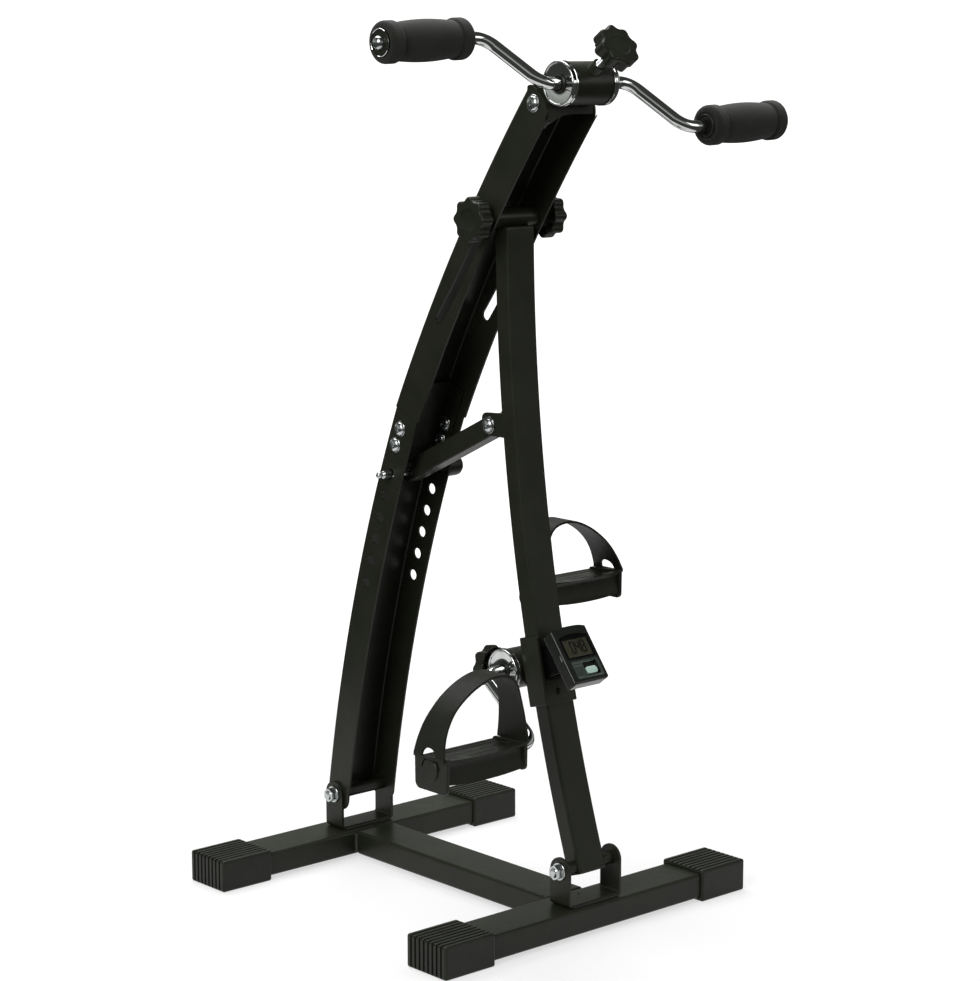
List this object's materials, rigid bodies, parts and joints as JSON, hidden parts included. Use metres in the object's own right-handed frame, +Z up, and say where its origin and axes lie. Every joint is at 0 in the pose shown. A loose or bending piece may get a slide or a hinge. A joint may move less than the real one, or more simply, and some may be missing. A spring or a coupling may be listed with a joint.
{
  "type": "dual exercise bike",
  "caption": "Floor-standing pedal exerciser with a foot crank below and a hand crank above, on a folding curved frame with an H-shaped base.",
  "frame": {"origin": "middle of the footprint on the floor", "axes": "+Z up, +X to the user's right, -Y towards the seated user"},
  "size_m": [0.4474, 0.4299, 0.8756],
  "materials": {
    "black_steel": "satin black powder coat",
    "chrome": "polished chrome plate",
    "zinc": "dull zinc plate",
    "black_plastic": "fine-grained black moulding",
    "foam": "closed-cell foam, matt",
    "strap_rubber": "smooth matt moulding",
    "counter_plastic": "smooth black moulding",
    "display_glass": "grey-green liquid crystal display under a clear sheet",
    "button_mint": "pale mint key"
  },
  "bodies": {
    "base": {"front_bar": "black_steel", "rear_bar": "black_steel", "centre_tube": "black_steel", "cap_front_left": "black_plastic", "cap_front_right": "black_plastic", "cap_rear_left": "black_plastic", "cap_rear_right": "black_plastic", "front_bracket": "black_steel", "rear_bracket": "black_steel", "front_pivot_bolt": "zinc", "rear_pivot_bolt": "zinc"},
    "column": {"lower_column": "black_steel", "upper_column": "black_steel", "column_joiner": "black_steel", "column_bolt_upper_left": "zinc", "column_bolt_upper_right": "zinc", "column_bolt_lower_left": "zinc", "column_bolt_lower_right": "zinc", "arm_hub_bracket": "black_steel", "arm_bracket_bolt": "zinc", "arm_hub_shell": "black_steel", "arm_hub_ring_left": "chrome", "arm_hub_ring_right": "chrome", "arm_hub_bush_left": "black_plastic", "arm_hub_bush_right": "black_plastic"},
    "lock_pin": {"lock_pin": "black_plastic"},
    "arm_crank": {"arm_crank_rod": "chrome", "grip_cap_left": "chrome", "grip_cap_right": "chrome"},
    "grip_left": {"grip_left": "foam"},
    "grip_right": {"grip_right": "foam"},
    "arm_tension_stud": {"arm_tension_stud": "zinc"},
    "arm_tension_knob": {"arm_tension_knob": "black_plastic"},
    "strut": {"strut_tube": "black_steel", "clamp_sleeve": "black_steel", "brace_bracket": "black_steel", "brace_bolt": "zinc", "pedal_hub_bracket": "black_steel", "foot_hub_shell": "black_steel", "foot_hub_ring_left": "chrome", "foot_hub_ring_right": "chrome", "foot_hub_bush_left": "black_plastic", "foot_hub_bush_right": "black_plastic", "counter_case": "counter_plastic", "counter_window": "display_glass", "counter_bracket": "counter_plastic"},
    "counter_button": {"counter_button": "button_mint"},
    "brace": {"brace_bar": "black_steel"},
    "clamp_left_stud": {"clamp_left_stud": "zinc"},
    "clamp_left_knob": {"clamp_left_knob": "black_plastic"},
    "clamp_right_stud": {"clamp_right_stud": "zinc"},
    "clamp_right_knob": {"clamp_right_knob": "black_plastic"},
    "foot_crank": {"foot_crank_rod": "chrome"},
    "pedal_left": {"pedal_left": "black_plastic", "pedal_strap_left": "strap_rubber"},
    "pedal_right": {"pedal_right": "black_plastic", "pedal_strap_right": "strap_rubber"},
    "foot_tension_stud": {"foot_tension_stud": "zinc"},
    "foot_tension_knob": {"foot_tension_knob": "black_plastic"}
  },
  "joints": [
    {"name": "column_tilt", "type": "hinge", "parent": "base", "child": "column", "pos_m": [-0.00825, 0.1867, 0.066], "axis": [-1, 0, 0], "range_deg": [0, 14.8]},
    {"name": "strut_tilt", "type": "hinge", "parent": "base", "child": "strut", "pos_m": [-0.00825, -0.1622, 0.0645], "axis": [-1, 0, 0], "range_deg": [0, 20.2]},
    {"name": "brace_tilt", "type": "hinge", "parent": "strut", "child": "brace", "pos_m": [-0.00825, -0.0357, 0.4837], "axis": [-1, 0, 0], "range_deg": [0, 3.1]},
    {"name": "lock_pin_pull", "type": "slide", "parent": "column", "child": "lock_pin", "axis": [1, 0, 0], "range_m": [0, 0.09]},
    {"name": "arm_crank_spin", "type": "hinge", "parent": "column", "child": "arm_crank", "pos_m": [-0.00825, -0.1492, 0.8156], "axis": [1, 0, 0], "continuous": true},
    {"name": "foot_crank_spin", "type": "hinge", "parent": "strut", "child": "foot_crank", "pos_m": [-0.00825, -0.0732, 0.2465], "axis": [1, 0, 0], "continuous": true},
    {"name": "grip_left_spin", "type": "hinge", "parent": "arm_crank", "child": "grip_left", "pos_m": [-0.11825, -0.1092, 0.8564], "axis": [0.9994, 0, 0.0357], "continuous": true},
    {"name": "pedal_left_spin", "type": "hinge", "parent": "foot_crank", "child": "pedal_left", "pos_m": [-0.14375, -0.1477, 0.1935], "axis": [1, 0, 0], "continuous": true},
    {"name": "grip_right_spin", "type": "hinge", "parent": "arm_crank", "child": "grip_right", "pos_m": [0.11825, -0.1892, 0.7748], "axis": [0.9994, 0, 0.0357], "continuous": true},
    {"name": "pedal_right_spin", "type": "hinge", "parent": "foot_crank", "child": "pedal_right", "pos_m": [0.12725, 0.0013, 0.2995], "axis": [1, 0, 0], "continuous": true},
    {"name": "arm_tension_stud_slide", "type": "slide", "parent": "column", "child": "arm_tension_stud", "axis": [0, 0.8192, -0.5736], "range_m": [0, 0.0025]},
    {"name": "arm_tension_knob_turn", "type": "hinge", "parent": "arm_tension_stud", "child": "arm_tension_knob", "pos_m": [-0.00825, -0.18561, 0.8411], "axis": [0, 0.8192, -0.5736], "range_deg": [0, 720]},
    {"name": "foot_tension_stud_slide", "type": "slide", "parent": "strut", "child": "foot_tension_stud", "axis": [0, -0.9816, 0.1908], "range_m": [0, 0.0025]},
    {"name": "foot_tension_knob_turn", "type": "hinge", "parent": "foot_tension_stud", "child": "foot_tension_knob", "pos_m": [-0.00825, -0.03811, 0.23968], "axis": [0, -0.9816, 0.1908], "range_deg": [0, 720]},
    {"name": "clamp_left_stud_slide", "type": "slide", "parent": "strut", "child": "clamp_left_stud", "axis": [-1, 0, 0], "range_m": [0, 0.00375]},
    {"name": "clamp_left_knob_turn", "type": "hinge", "parent": "clamp_left_stud", "child": "clamp_left_knob", "pos_m": [-0.04055, -0.0522, 0.6865], "axis": [-1, 0, 0], "range_deg": [0, 1080]},
    {"name": "clamp_right_stud_slide", "type": "slide", "parent": "strut", "child": "clamp_right_stud", "axis": [1, 0, 0], "range_m": [0, 0.00375]},
    {"name": "clamp_right_knob_turn", "type": "hinge", "parent": "clamp_right_stud", "child": "clamp_right_knob", "pos_m": [0.02405, -0.0522, 0.6865], "axis": [1, 0, 0], "range_deg": [0, 1080]},
    {"name": "counter_button_press", "type": "slide", "parent": "strut", "child": "counter_button", "axis": [0, 0.793, -0.6092], "range_m": [0, 0.0012], "stiffness_N_per_m": 400}
  ],
  "couplings": [
    {"joint": "strut_tilt", "follows": "column_tilt", "ratio": 1.36},
    {"joint": "brace_tilt", "follows": "column_tilt", "ratio": 0.20438},
    {"joint": "arm_tension_knob_turn", "follows": "arm_tension_stud_slide", "rad_per_m": 5026.5},
    {"joint": "foot_tension_knob_turn", "follows": "foot_tension_stud_slide", "rad_per_m": 5026.5},
    {"joint": "clamp_left_knob_turn", "follows": "clamp_left_stud_slide", "rad_per_m": 5026.5},
    {"joint": "clamp_right_knob_turn", "follows": "clamp_right_stud_slide", "rad_per_m": 5026.5}
  ]
}
